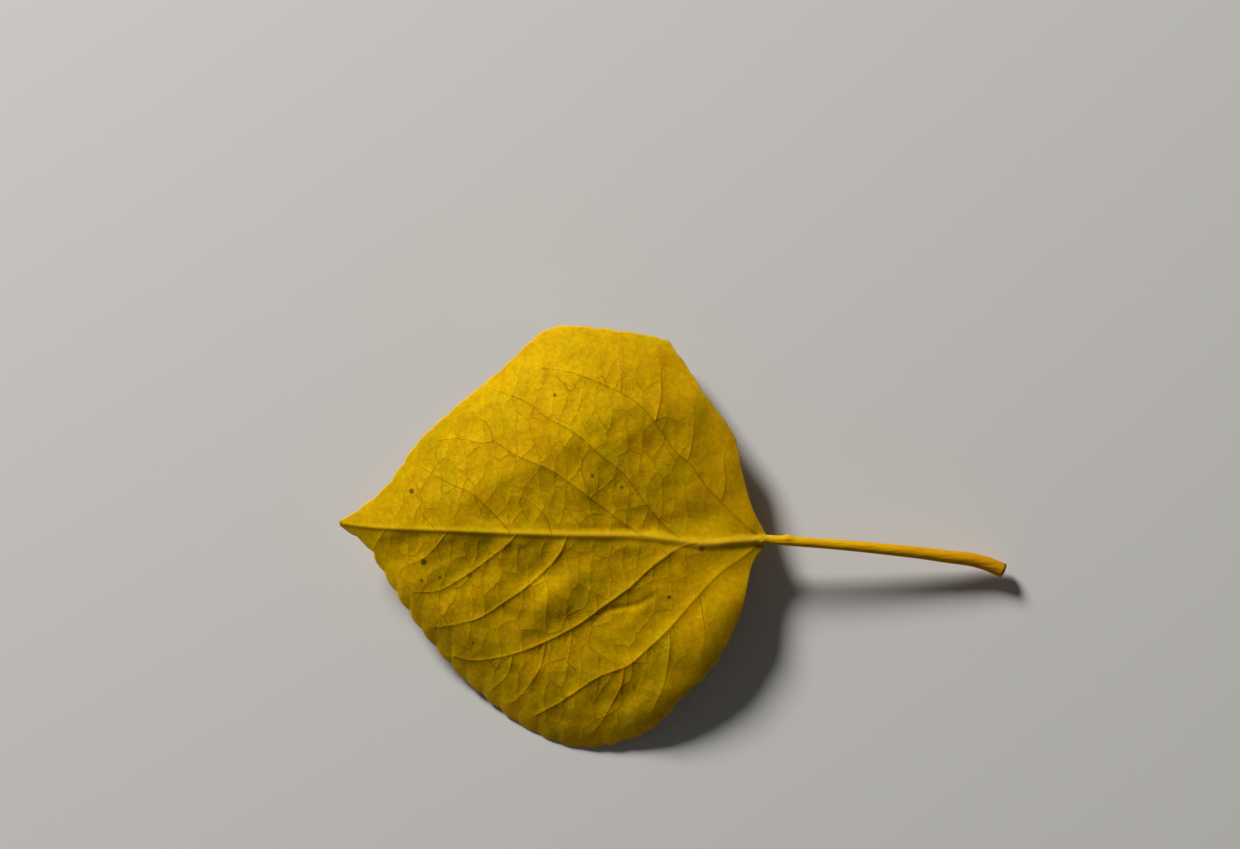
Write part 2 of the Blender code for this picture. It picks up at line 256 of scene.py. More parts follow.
# The net fades out at the base, the margin and the midrib, between these distances from each.
NET_AT_BASE = 0.25
NET_FROM_BASE = (3.0, 17.0)
NET_NEAR_MARGIN = 0.35
NET_FROM_MARGIN = (0.1, 0.8)
NET_FULL_FROM_MARGIN = (1.0, 6.0)
NET_FROM_MIDRIB = (0.3, 1.6)

# Puckers a few millimetres across, where the tissue dried unevenly.
PUCKER_LENGTH = 3.8
PUCKER_HEIGHT = 0.5

# Small swellings: place, radius and height.
NODULES = [((-0.5, 0.5), 0.32, 0.14), ((-0.4, -0.4), 0.3, 0.1), ((-1.3, 0.1), 0.3, 0.06)]

# How finely the curves and the mesh follow the form.
SAMPLES_PER_SPAN = 24
SAMPLES_ALONG_A_GRAPH = 200
SAMPLES_PER_VEIN_POINT = 6
SAMPLES_PER_ROLL_POINT = 8
SAMPLES_ALONG_THE_CREASE = 24
TOP_SPACING = 0.165
UNDER_STEP = 3
RIBS = 456
STALK_RINGS = 72
RING_SIDES = 28


def smooth_curve(points, count):
    """`count` points at even spacing along a smooth curve through `points`."""
    knots = np.array(points, float)
    ends = [2 * knots[0] - knots[1], 2 * knots[-1] - knots[-2]]
    padded = np.vstack([ends[0], knots, ends[1]])
    share = np.linspace(0.0, 1.0, SAMPLES_PER_SPAN, endpoint=False)[:, None]
    pieces = []
    for before, start, end, after in zip(padded, padded[1:], padded[2:], padded[3:], strict=False):
        bend = 2 * before - 5 * start + 4 * end - after
        twist = 3 * start - before - 3 * end + after
        pieces.append(0.5 * (2 * start + (end - before) * share + bend * share**2 + twist * share**3))
    fine = np.vstack([*pieces, knots[-1:]])
    lengths = np.concatenate([[0.0], np.cumsum(np.linalg.norm(np.diff(fine, axis=0), axis=1))])
    places = np.linspace(0.0, lengths[-1], count)
    return np.column_stack([np.interp(places, lengths, fine[:, axis]) for axis in (0, 1)])


def smooth_between(x, places, values):
    """Reads a smooth curve through `values`, given at rising `places`."""
    line = smooth_curve(list(zip(places, values, strict=True)), SAMPLES_ALONG_A_GRAPH)
    return np.interp(x, line[:, 0], line[:, 1])


def smooth_step(x, low, high):
    """Rises smoothly from 0 at `low` to 1 at `high`."""
    share = np.clip((x - low) / (high - low), 0.0, 1.0)
    return share * share * (3.0 - 2.0 * share)


def midrib_y(x):
    """Where the midrib runs at each x."""
    places, values = zip(*MIDRIB[::-1], strict=True)
    return smooth_between(x, places, values)


def form_height(x, y):
    """Height of the blade's upper face above its crown, at a flat place."""
    aside = y - midrib_y(x)
    away = np.sqrt(aside**2 + FOLD_ROUNDING**2) - FOLD_ROUNDING
    reach = away / BLADE_HALF_WIDTH
    slope = np.where(
        aside > 0, smooth_between(x, FORM_PLACES, SLOPE_RIGHT), smooth_between(x, FORM_PLACES, SLOPE_LEFT)
    )
    droop = np.where(
        aside > 0, smooth_between(x, FORM_PLACES, DROOP_RIGHT), smooth_between(x, FORM_PLACES, DROOP_LEFT)
    )
    along = x - CROWN_PLACE
    tipward = CROWN_DROP_AT_TIP * (np.minimum(along, 0.0) / (BLADE_LENGTH + CROWN_PLACE)) ** 2
    baseward = CROWN_DROP_AT_BASE * (np.maximum(along, 0.0) / CROWN_PLACE) ** 2
    return slope * away - droop * reach**DROOP_POWER - tipward - baseward


def nearest_on(flat, line):
    """The offset from each flat place to the nearest point of a line, and how far along the line that is."""
    offset = np.zeros((len(flat), 2))
    along = np.zeros(len(flat))
    best = np.full(len(flat), np.inf)
    for i, (start, end) in enumerate(zip(line, line[1:], strict=False)):
        run = end - start
        share = np.clip((flat - start) @ run / (run @ run), 0.0, 1.0)
        away = start + share[:, None] * run - flat
        distance = np.einsum("ij,ij->i", away, away)
        closer = distance < best
        best[closer] = distance[closer]
        offset[closer] = away[closer]
        along[closer] = (i + share[closer]) / (len(line) - 1)
    return offset, along


def vein_relief(flat):
    """Heights of the veins' cords and of the flanks that fall away from them, and for the colouring each
    place's offset from the nearest vein and that vein's half width."""
    cords = np.zeros(len(flat))
    flanks = np.zeros(len(flat))
    offset = np.full((len(flat), 2), NO_VEIN_OFFSET)
    half_width = np.full(len(flat), NO_VEIN_HALF_WIDTH)
    nearest = np.full(len(flat), np.inf)
    for root_width, end_width, points in VEINS.values():
        line = smooth_curve(points, SAMPLES_PER_VEIN_POINT * len(points))
        low, high = line.min(axis=0) - FLANK_REACH, line.max(axis=0) + FLANK_REACH
        close = np.nonzero(((flat > low) & (flat < high)).all(axis=1))[0]
        away, along = nearest_on(flat[close], line)
        width = root_width + (end_width - root_width) * along
        distance = np.linalg.norm(away, axis=1)
        softer = smooth_step(flat[close, 0], *SOFTER_FROM_TO)
        rounding = CREST_ROUNDING + (BASE_CREST_ROUNDING - CREST_ROUNDING) * softer
        crest = np.sqrt(distance**2 + rounding**2) - rounding
        height = CORD_HEIGHT * (1.0 + (BASE_CORD_SHARE - 1.0) * softer) * width
        cord = height * np.exp(-((distance / (CORD_SPREAD * width)) ** 2))
        flank = FLANK_HEIGHT * width * np.exp(-crest / FLANK_SPREAD)
        cords[close] = np.maximum(cords[close], cord)
        flanks[close] = np.maximum(flanks[close], flank)
        score = distance - width / 2
        better = score < nearest[close]
        chosen = close[better]
        nearest[chosen] = score[better]
        offset[chosen] = away[better]
        half_width[chosen] = width[better] / 2
    return cords, flanks, offset, half_width


def rolls(flat, from_margin, aside):
    """The broad ridges and hollows of the drying blade, and its left margin's roll toward the ground."""
    height = np.zeros(len(flat))
    for rise, spread, points in ROLLS:
        offset, _ = nearest_on(flat, smooth_curve(points, SAMPLES_PER_ROLL_POINT * len(points)))
        height += rise * np.exp(-((np.linalg.norm(offset, axis=1) / spread) ** 2))
    tipward = smooth_step(-flat[:, 0], *LEFT_ROLL_GROWS)
    roll = LEFT_ROLL_BASEWARD + (LEFT_ROLL_TIPWARD - LEFT_ROLL_BASEWARD) * tipward
    rolled = 1.0 - np.exp(-from_margin / LEFT_ROLL_SPREAD)
    height += roll * rolled * smooth_step(-aside, *LEFT_ROLL_SETS_IN)
    for length, turn, amount, phase in RIPPLES:
        heading = np.array([math.cos(math.radians(turn)), math.sin(math.radians(turn))])
        height += amount * np.sin(flat @ heading * 2 * math.pi / length + phase)
    return height


def margin_line(points, outward, tooth_depth):
    """The margin, pushed in between its small rounded teeth, at every rib."""
    margin = smooth_curve(points, RIBS + 1)
    run = np.gradient(margin, axis=0)
    run /= np.linalg.norm(run, axis=1)[:, None]
    normal = np.column_stack([-run[:, 1], run[:, 0]]) * outward
    share = np.linspace(0.0, 1.0, RIBS + 1)
    uneven = 1.0 - TOOTH_UNEVENNESS + TOOTH_UNEVENNESS * np.sin(share * TOOTH_RHYTHM + outward)
    uneven += TIP_TEETH_MORE * smooth_step(share, *TIP_TEETH_GROW)
    notch = 1.0 - np.abs(np.sin(share * TEETH_PER_SIDE * math.pi - TOOTH_LEAN))
    fade = smooth_step(share, *TEETH_BEGIN) * (1.0 - smooth_step(share, *TEETH_END))
    return margin - normal * (tooth_depth * uneven * notch * fade)[:, None]


def strip(first, second):
    """Triangles between two rows of points that run side by side, evenly spread, but may differ in number."""
    faces = []
    i = j = 0
    last_i, last_j = len(first) - 1, len(second) - 1
    while i < last_i or j < last_j:
        if j == last_j or (i < last_i and (i + 1) * last_j <= (j + 1) * last_i):
            faces.append((first[i], first[i + 1], second[j]))
            i += 1
        else:
            faces.append((first[i], second[j + 1], second[j]))
            j += 1
    return faces


class Face:
    """One face of the blade: rows of points from the left margin over the midrib to the right margin."""

    def __init__(self, rib_numbers, spacing, first_number):
        midrib = smooth_curve(MIDRIB, RIBS + 1)
        right = margin_line(MARGIN_RIGHT, -1.0, TOOTH_DEPTH_RIGHT)
        left = margin_line(MARGIN_LEFT, 1.0, TOOTH_DEPTH_LEFT)
        flat, side_share = [], []
        self.rows = []
        for rib in rib_numbers:
            row = []
            for margin in (left, right):
                length = np.linalg.norm(margin[rib] - midrib[rib])
                count = max(2, round(length / spacing))
                shares = np.linspace(0.0, 1.0, count + 1)
                if margin is left:
                    shares = shares[:0:-1]
                points = midrib[rib] + (margin[rib] - midrib[rib]) * shares[:, None]
                start = first_number + len(side_share)
                row += range(start, start + len(points))
                flat.append(points)
                side_share += list((1.0 - shares) * length)
            self.rows.append(row)
        self.flat = np.vstack(flat)
        self.from_margin = np.array(side_share)
        self.faces = [face for a, b in zip(self.rows, self.rows[1:], strict=False) for face in strip(a, b)]


def smooth_max(a, b, rounding):
    """The larger of two heights, with the corner between them filled in."""
    return 0.5 * (a + b + np.sqrt((a - b) ** 2 + rounding**2))


def midrib_section(flat):
    """The midrib's top and bottom along its middle and at each place, measured from the blade's upper face,
    with its half width and how far each place lies aside from it."""
    left = 1.0 - np.clip(-flat[:, 0] / BLADE_LENGTH, 0.0, 1.0)
    width = MIDRIB_WIDTH_AT_TIP + (STALK_WIDTH_AT_BLADE - MIDRIB_WIDTH_AT_TIP) * left
    depth = MIDRIB_WIDTH_AT_TIP + (STALK_DEPTH_AT_BLADE - MIDRIB_WIDTH_AT_TIP) * left**2
    middle = (MIDRIB_RAISED_SHARE - 0.5) * depth
    aside = flat[:, 1] - midrib_y(flat[:, 0])
    arch = depth / 2 * np.sqrt(np.clip(1.0 - (2 * aside / width) ** 2, 0.0, 1.0))
    return middle, depth / 2, arch, width / 2, aside


def blade_heights(flat, from_margin, upper):
    """Heights of one face of the blade above the crown, with its veins, and for the colouring each place's
    offset from the nearest vein, that vein's half width, and how many midrib half widths it lies aside."""
    cords, flanks, offset, half_width = vein_relief(flat)
    middle, half_depth, arch, midrib_half_width, aside = midrib_section(flat)
    crease_offset, crease_along = nearest_on(flat, smooth_curve(CREASE, SAMPLES_ALONG_THE_CREASE))
    crease = np.linalg.norm(crease_offset, axis=1)
    fade = np.sin(crease_along * math.pi)
    blade = smooth_step(-flat[:, 0], *BLADE_BEGINS)
    rooted = smooth_step(np.abs(aside), 0.0, ROOT_FADE)
    flank_height = np.where(aside > 0, MIDRIB_FLANK_RIGHT, MIDRIB_FLANK_LEFT)
    flank_spread = np.where(aside > 0, MIDRIB_SPREAD_RIGHT, MIDRIB_SPREAD_LEFT)
    midrib_flank = flank_height * (np.exp(-np.abs(aside) / flank_spread) - 1.0) + MIDRIB_FLANK_RIGHT
    bend = flanks * rooted * (1.0 - np.exp(-np.abs(aside) / flank_spread)) + midrib_flank
    bend += rolls(flat, from_margin, aside)
    bend -= CREASE_DEPTH * fade * np.exp(-((crease / CREASE_SPREAD) ** 2))
    side = (MIDRIB_RAISED_SHARE - 0.5) * STALK_DEPTH_AT_BLADE
    ridge = np.exp(-((np.abs(aside) / (MIDRIB_RIDGE_SPREAD * midrib_half_width)) ** MIDRIB_SHOULDER))
    if upper:
        sheet = cords * rooted + MIDRIB_STANDING * (middle + half_depth) * ridge
        root = smooth_max(side + ROOT_CLEARANCE, middle + arch, ROOT_ROUNDING)
    else:
        sheet = -BLADE_THICKNESS - np.maximum(half_depth - middle - BLADE_THICKNESS, 0.0) * ridge
        root = -smooth_max(ROOT_CLEARANCE - side, arch - middle, ROOT_ROUNDING)
    face = root * (1.0 - blade) + sheet * blade
    if upper:
        for place, radius, rise in NODULES:
            away = np.linalg.norm(flat - place, axis=1)
            face += rise * np.exp(-((away / radius) ** 2))
    heights = form_height(flat[:, 0], flat[:, 1]) + bend * blade + face
    return heights, offset, half_width, aside / midrib_half_width


def stalk_rings():
    """Rings of the stalk from the blade to its cut end, each from its left side over the top and back."""
    line = smooth_curve(STALK, STALK_RINGS + 1)[1:]
    out = np.linspace(0.0, 1.0, STALK_RINGS + 1)[1:]
    join = float(form_height(0.0, 0.0)) + (MIDRIB_RAISED_SHARE - 0.5) * STALK_DEPTH_AT_BLADE
    swell = out**STALK_SWELL_POWER
    width = STALK_WIDTH_AT_BLADE + (STALK_WIDTH_AT_END - STALK_WIDTH_AT_BLADE) * swell
    depth = STALK_DEPTH_AT_BLADE + (STALK_DEPTH_AT_END - STALK_DEPTH_AT_BLADE) * swell
    centres = np.column_stack([line, join - STALK_END_DROP * out**STALK_SAG_POWER])
    heading = np.gradient(centres, axis=0)
    heading /= np.linalg.norm(heading, axis=1)[:, None]
    aside = np.cross([0.0, 0.0, 1.0], heading)
    aside /= np.linalg.norm(aside, axis=1)[:, None]
    upright = np.cross(heading, aside)
    rings = []
    for i, centre in enumerate(centres):
        turns = math.pi - np.arange(RING_SIDES) * 2 * math.pi / RING_SIDES
        over = np.exp(-(((turns - math.pi / 2) / STALK_GROOVE_SPREAD) ** 2))
        groove = 1.0 - STALK_GROOVE_DEPTH * over * (1.0 - swell[i])
        nub_along = np.exp(-(((line[i, 0] - NUB_X) / NUB_SPREAD) ** 2))
        nub_round = np.clip(np.cos(turns - NUB_TURN), 0.0, 1.0)
        shape = groove + NUB_RISE * (nub_along * nub_round) ** 2
        ring = centre + (
            np.outer(np.cos(turns) * shape * width[i] / 2, aside[i])
            + np.outer(np.sin(turns) * shape * depth[i] / 2, upright[i])
        )
        rings.append(ring)
    return rings, centres, out


class Shell:
    """The closed mesh as it grows: its points in millimetres, and its triangles."""

    def __init__(self):
        self.points = []
        self.faces = []
        self.count = 0

    def add(self, points):
        """Adds points, and gives back their numbers."""
        numbers = list(range(self.count, self.count + len(points)))
        self.points.append(np.array(points))
        self.count += len(points)
        return numbers


def add_rim(shell, top, under, end, outward):
    """The edge between the blade's two faces along one margin, rounded outwards."""
    upper_edge = [row[end] for row in top.rows]
    lower_edge = [row[end] for row in under.rows]
    edge_points = shell.points[0][upper_edge]
    run = np.gradient(edge_points[:, :2], axis=0)
    run /= np.linalg.norm(run, axis=1)[:, None]
    normal = np.column_stack([-run[:, 1], run[:, 0], np.zeros(len(run))]) * outward
    middle = edge_points + normal * RIM_BULGE - [0.0, 0.0, BLADE_THICKNESS / 2]
    middle[0] = edge_points[0] - [0.0, 0.0, RIM_ROOT_DROP]
    numbers = shell.add(middle)
    shell.faces += strip(upper_edge, numbers) + strip(numbers, lower_edge)
    return numbers


def add_stalk(shell, top, under, rims):
    """The stalk, from the base of the blade to its scar, and how far out along it each of its points lies."""
    rings, centres, out = stalk_rings()
    ring_numbers = [shell.add(ring) for ring in rings]
    half = RING_SIDES // 2
    first = ring_numbers[0]
    over = first[: half + 1]
    below = [first[0], *first[: half - 1 : -1]]
    shell.faces += strip([rims[0][0], *top.rows[0], rims[1][0]], over)
    shell.faces += strip([rims[0][0], *under.rows[0], rims[1][0]], below)
    for a, b in zip(ring_numbers, ring_numbers[1:], strict=False):
        shell.faces += strip([*a, a[0]], [*b, b[0]])
    end_ring = ring_numbers[-1]
    (scar,) = shell.add([centres[-1] - (centres[-1] - centres[-2]) * SCAR_HOLLOW])
    shell.faces += [(end_ring[i], end_ring[(i + 1) % RING_SIDES], scar) for i in range(RING_SIDES)]
    return [*np.repeat(out, RING_SIDES), 1.0]


def add_tip(shell, top, under, rims):
    """The point of the blade, which closes its two faces and its rims."""
    height = shell.points[0][top.rows[-1]][:, 2].mean() - BLADE_THICKNESS / 2
    (tip,) = shell.add([(-BLADE_LENGTH - TIP_OVERHANG, TIP_Y, height)])
    for row in (top.rows[-1], under.rows[-1]):
        loop = [rims[0][-1], *row, rims[1][-1]]
        shell.faces += [(a, b, tip) for a, b in zip(loop, loop[1:], strict=False)]


def leaf_mesh():
    """The whole leaf as one closed mesh, with what its colouring needs stored at its points."""
    top = Face(range(RIBS + 1), TOP_SPACING, 0)
    under = Face(range(0, RIBS + 1, UNDER_STEP), UNDER_STEP * TOP_SPACING, len(top.flat))
    shell = Shell()
    offsets, half_widths, asides = [], [], []
    for face in (top, under):
        heights, offset, half_width, aside = blade_heights(face.flat, face.from_margin, face is top)
        shell.add(np.column_stack([face.flat, heights]))
        shell.faces += face.faces
        offsets.append(offset)
        half_widths.append(half_width)
        asides.append(aside)
    on_faces = shell.count
    rims = [add_rim(shell, top, under, end, outward) for end, outward in ((0, 1.0), (-1, -1.0))]
    before_stalk = shell.count
    out = add_stalk(shell, top, under, rims)
    add_tip(shell, top, under, rims)

    rest = shell.count - on_faces
    offset = np.vstack([*offsets, np.full((rest, 2), NO_VEIN_OFFSET)])
    stalk = np.zeros(shell.count)
    stalk[before_stalk : before_stalk + len(out)] = out
    notes = {
        "net": [net_share(top), net_share(under), np.zeros(rest)],
        "upturned": [np.ones(len(top.flat)), np.zeros(len(under.flat)), np.full(rest, 0.5)],
        "vein_distance": [np.linalg.norm(offset, axis=1)],
        "from_margin": [top.from_margin, under.from_margin, np.zeros(rest)],
        "vein_half_width": [*half_widths, np.full(rest, NO_VEIN_HALF_WIDTH)],
        "midrib_share": [*asides, np.full(rest, FAR_FROM_MIDRIB)],
        "stalk": [stalk],
    }
    notes = {name: np.concatenate(parts) for name, parts in notes.items()}
    return np.vstack(shell.points), shell.faces, notes, offset


def net_share(face):
    """How strongly the fine net of veins shows: it fades out at the margin, the midrib and the base."""
    aside = np.abs(face.flat[:, 1] - midrib_y(face.flat[:, 0]))
    from_base = NET_AT_BASE + (1.0 - NET_AT_BASE) * smooth_step(-face.flat[:, 0], *NET_FROM_BASE)
    full = NET_NEAR_MARGIN + (1.0 - NET_NEAR_MARGIN) * smooth_step(face.from_margin, *NET_FULL_FROM_MARGIN)
    from_margin = smooth_step(face.from_margin, *NET_FROM_MARGIN) * full
    return from_margin * smooth_step(aside, *NET_FROM_MIDRIB) * from_base


def place_in_frame(points):
    """Moves the leaf from its flat drawing's frame, in millimetres, into the CAD leaf's box, in metres."""
    low, high = (np.array(corner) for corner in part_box("leaf"))
    scale = (high[0] - low[0]) / (points[:, 0].max() - points[:, 0].min())
    middle_y = (points[:, 1].max() + points[:, 1].min()) / 2
    origin = np.array([low[0] - points[:, 0].min() * scale, (low[1] + high[1]) / 2 - middle_y * scale, 0.0])
    origin[2] = low[2] - points[:, 2].min() * scale
    return points * scale + origin, origin, scale


def linear(hex_colour):
    """An sRGB hex colour as linear red, green and blue, with full alpha."""
    parts = [int(hex_colour[i : i + 2], 16) / 255 for i in (1, 3, 5)]
    return [*(c / 12.92 if c <= 0.04045 else ((c + 0.055) / 1.055) ** 2.4 for c in parts), 1.0]


def add(tree, kind, inputs=None, out=None, **settings):
    """Adds a node with its settings; each input is a value or the output that feeds it. Gives back the named
    output, or else the first in use. An input whose name isn't its own goes by its number: a Mix node takes
    a share at 0 and its colours at 6 and 7, and a Map Range node takes a value at 0, the range it is read on
    at 1 and 2, and the range it is spread over at 3 and 4."""
    node = tree.nodes.new(kind)
    for name, value in settings.items():
        setattr(node, name, value)
    for name, value in (inputs or {}).items():
        if isinstance(value, bpy.types.NodeSocket):
            tree.links.new(value, node.inputs[name])
        else:
            node.inputs[name].default_value = value
    if out:
        return node.outputs[out]
    return next((socket for socket in node.outputs if socket.enabled), None)


def net_place(tree, plan):
    """Where a place falls in the net of veins, with each mesh of the net about 1 wide and 1 long. Two noises,
    broad and narrow, make the net wander."""
    moved = plan
    for per_mm, by in NET_WANDER:
        noise = add(
            tree, "ShaderNodeTexNoise", {"Vector": plan, "Scale": per_mm, "Detail": 1.0}, out="Color",
            noise_dimensions="2D",
        )
        moved = add(
            tree, "ShaderNodeVectorMath", {0: noise, 1: (by, by, 0.0), 2: moved}, operation="MULTIPLY_ADD"
        )
    size = (1.0 / NET_MESH_ALONG, 1.0 / NET_MESH_ACROSS, 0.0)
    return add(tree, "ShaderNodeVectorMath", {0: moved, 1: size}, operation="MULTIPLY")


def net_edge(tree, plan):
    """The distance from the nearest line of the net, in shares of a mesh."""
    return add(
        tree, "ShaderNodeTexVoronoi",
        {"Vector": net_place(tree, plan), "Scale": 1.0, "Randomness": NET_RANDOMNESS},
        voronoi_dimensions="2D", feature="DISTANCE_TO_EDGE",
    )


def quilting_tree():
    """Geometry Nodes that lift the blade along its fine net of veins, so that each mesh of the net is a small
    hollow."""
    tree = bpy.data.node_groups.new("quilted_tissue", "GeometryNodeTree")
    sockets = {}
    for name, kind in (
        ("Blade", "NodeSocketGeometry"),
        ("Net Height", "NodeSocketFloat"),
        ("Crest Share", "NodeSocketFloat"),
        ("Pucker Height", "NodeSocketFloat"),
        ("Tissue", "NodeSocketMaterial"),
    ):
        sockets[name] = tree.interface.new_socket(name, in_out="INPUT", socket_type=kind)
    tree.interface.new_socket("Blade", in_out="OUTPUT", socket_type="NodeSocketGeometry")
    given = tree.nodes.new("NodeGroupInput").outputs
    plan = add(tree, "GeometryNodeInputNamedAttribute", {"Name": "plan"}, data_type="FLOAT_VECTOR")
    share = add(tree, "GeometryNodeInputNamedAttribute", {"Name": "net"}, data_type="FLOAT")
    fall = add(tree, "ShaderNodeMath", {0: net_edge(tree, plan), 1: given["Crest Share"]}, operation="DIVIDE")
    fall = add(tree, "ShaderNodeMath", {0: fall, 1: -1.0}, operation="MULTIPLY")
    crest = add(tree, "ShaderNodeMath", {0: fall}, operation="EXPONENT")
    lift = add(tree, "ShaderNodeMath", {0: crest, 1: share}, operation="MULTIPLY")
    lift = add(tree, "ShaderNodeMath", {0: lift, 1: given["Net Height"]}, operation="MULTIPLY")
    pucker = add(
        tree, "ShaderNodeTexNoise", {"Vector": plan, "Scale": 1.0 / PUCKER_LENGTH, "Detail": 1.0},
        noise_dimensions="2D",
    )
    pucker = add(tree, "ShaderNodeMath", {0: pucker, 1: 0.5}, operation="SUBTRACT")
    pucker = add(tree, "ShaderNodeMath", {0: pucker, 1: share}, operation="MULTIPLY")
    lift = add(
        tree, "ShaderNodeMath", {0: pucker, 1: given["Pucker Height"], 2: lift}, operation="MULTIPLY_ADD"
    )
    up = add(tree, "ShaderNodeCombineXYZ", {"Z": lift})
    lifted = add(tree, "GeometryNodeSetPosition", {"Geometry": given["Blade"], "Offset": up})
    whole = add(tree, "GeometryNodeRealizeInstances", {"Geometry": lifted})
    finished = add(tree, "GeometryNodeSetMaterial", {"Geometry": whole, "Material": given["Tissue"]})
    add(tree, "NodeGroupOutput", {"Blade": finished})
    return tree, {name: socket.identifier for name, socket in sockets.items()}


def leaf_object(tissue):
    """The finished leaf, with where its drawing's zero point lies and its scale in metres per millimetre."""
    points, faces, notes, offset = leaf_mesh()
    placed, origin, scale = place_in_frame(points)
    mesh = bpy.data.meshes.new("leaf_tissue")
    mesh.from_pydata(placed.tolist(), [], faces)
    bm = bmesh.new()
    bm.from_mesh(mesh)
    bmesh.ops.recalc_face_normals(bm, faces=bm.faces)
    bm.to_mesh(mesh)
    bm.free()
    for name, values in notes.items():
        note = mesh.attributes.new(name, "FLOAT", "POINT")
        note.data.foreach_set("value", values.astype(np.float32))
    to_vein = np.column_stack([offset, np.zeros(len(offset))])
    for name, values in (("plan", points), ("to_vein", to_vein)):
        note = mesh.attributes.new(name, "FLOAT_VECTOR", "POINT")
        note.data.foreach_set("vector", values.astype(np.float32).ravel())
    flat_leaf = bpy.data.objects.new("unquilted_leaf", mesh)
    bpy.context.scene.collection.objects.link(flat_leaf)
    tree, inputs = quilting_tree()
    quilting = flat_leaf.modifiers.new("quilting", "NODES")
    quilting.node_group = tree
    quilting[inputs["Net Height"]] = NET_HEIGHT * scale
    quilting[inputs["Crest Share"]] = NET_CREST_SHARE
    quilting[inputs["Pucker Height"]] = PUCKER_HEIGHT * scale
    quilting[inputs["Tissue"]] = tissue
    evaluated = flat_leaf.evaluated_get(bpy.context.evaluated_depsgraph_get())
    quilted = bpy.data.meshes.new_from_object(evaluated)
    flat_leaf.modifiers.remove(quilting)
    bpy.data.objects.remove(flat_leaf)
    quilted.shade_smooth()
    leaf = bpy.data.objects.new("leaf_tissue", quilted)
    bpy.context.scene.collection.objects.link(leaf)
    return leaf, origin, scale


# The tissue's colours.
GOLD_DEEP = "#DFB004"
GOLD = "#EEC004"
GOLD_BY_STALK = "#D89F04"
# A painted shade for the meshes of the net, as if each were tilted its own way from the light.
MESH_PAINTED_SHADE = "#B08A04"
NET_BROWN = "#8E5C04"
THREAD_BROWN = "#8A5604"
UNDER_VEIN_PALE = "#ECCB4E"
MIDRIB_PALE = "#F0C42A"
MARGIN_PALE = "#E8C04A"
STALK_YELLOW = "#E8B20A"
STALK_ORANGE = "#D4920A"

# Patches that kept a trace of green, and others that turned toward orange: how many to the millimetre,
# between which values of the noise each sets in, its greatest share, and its colour.
PATCHES = [(0.22, 0.5, 0.66, 0.38, "#B4A400"), (0.31, 0.54, 0.7, 0.35, "#D89404")]

# Mottling, down to single cells' size: how many blotches to the millimetre, and their darkest tint.
MOTTLING = [(0.45, "#EEEBE4"), (1.6, "#ECE8DE"), (6.0, "#EEEBE4")]

# Where the blade is freckled: place, radius and colour of each freckle.
GREEN_BLACK = "#1D2408"
OLIVE = "#5A5A08"
RUST = "#7A4208"
UMBER = "#4A2A08"
FRECKLES = [
    ((-42.5, 5.8), 0.38, UMBER), ((-41.0, -2.7), 0.46, GREEN_BLACK), ((-35.6, -4.3), 0.42, OLIVE),
    ((-39.1, -4.6), 0.26, RUST), ((-41.3, -4.9), 0.26, RUST), ((-25.3, 17.3), 0.28, RUST),
    ((-20.8, 7.7), 0.3, RUST), ((-17.3, 6.3), 0.26, OLIVE), ((-11.6, -6.9), 0.3, UMBER),
    ((-7.7, -1.1), 0.42, RUST), ((-35.2, -12.5), 0.18, RUST), ((-51.3, 2.0), 0.5, RUST),
]
FRECKLE_DEPTH = 0.85
FRECKLE_CORE = 0.4
FRECKLE_EDGE = 1.2

# Relief too fine for the mesh, in millimetres.
NET_LINE_RELIEF = 0.012
FINE_MESH_RELIEF = 0.006
THREAD_RELIEF = 0.02
GRAIN_RELIEF = 0.006
FIBRE_RELIEF = 0.12


def ground_colour(tree, plan, place):
    """Golden yellow that wanders over centimetres and is warmer toward the stalk, patched and mottled."""
    drift = add(tree, "ShaderNodeTexNoise", {"Vector": plan, "Scale": 0.09, "Detail": 2.0})
    drift = add(tree, "ShaderNodeMapRange", {0: drift, 1: 0.35, 2: 0.65})
    colour = add(
        tree, "ShaderNodeMix", {0: drift, 6: linear(GOLD_DEEP), 7: linear(GOLD)}, data_type="RGBA"
    )
    near_base = add(tree, "ShaderNodeMapRange", {0: place, 1: -22.0, 2: 2.0, 3: 0.0, 4: 0.5})
    colour = add(tree, "ShaderNodeMix", {0: near_base, 6: colour, 7: linear(GOLD_BY_STALK)}, data_type="RGBA")
    for scale, low, high, most, tint in PATCHES:
        patch = add(tree, "ShaderNodeTexNoise", {"Vector": plan, "Scale": scale, "Detail": 2.0})
        patch = add(tree, "ShaderNodeMapRange", {0: patch, 1: low, 2: high, 3: 0.0, 4: most})
        colour = add(tree, "ShaderNodeMix", {0: patch, 6: colour, 7: linear(tint)}, data_type="RGBA")
    for scale, dark in MOTTLING:
        blotch = add(tree, "ShaderNodeTexNoise", {"Vector": plan, "Scale": scale, "Detail": 3.0})
        blotch = add(tree, "ShaderNodeMapRange", {0: blotch, 1: 0.35, 2: 0.65})
        tint = add(
            tree, "ShaderNodeMix", {0: blotch, 6: linear(dark), 7: linear("#FFFFFF")}, data_type="RGBA"
        )
        colour = add(
            tree, "ShaderNodeMix", {0: 1.0, 6: colour, 7: tint}, data_type="RGBA", blend_type="MULTIPLY"
        )
    return colour


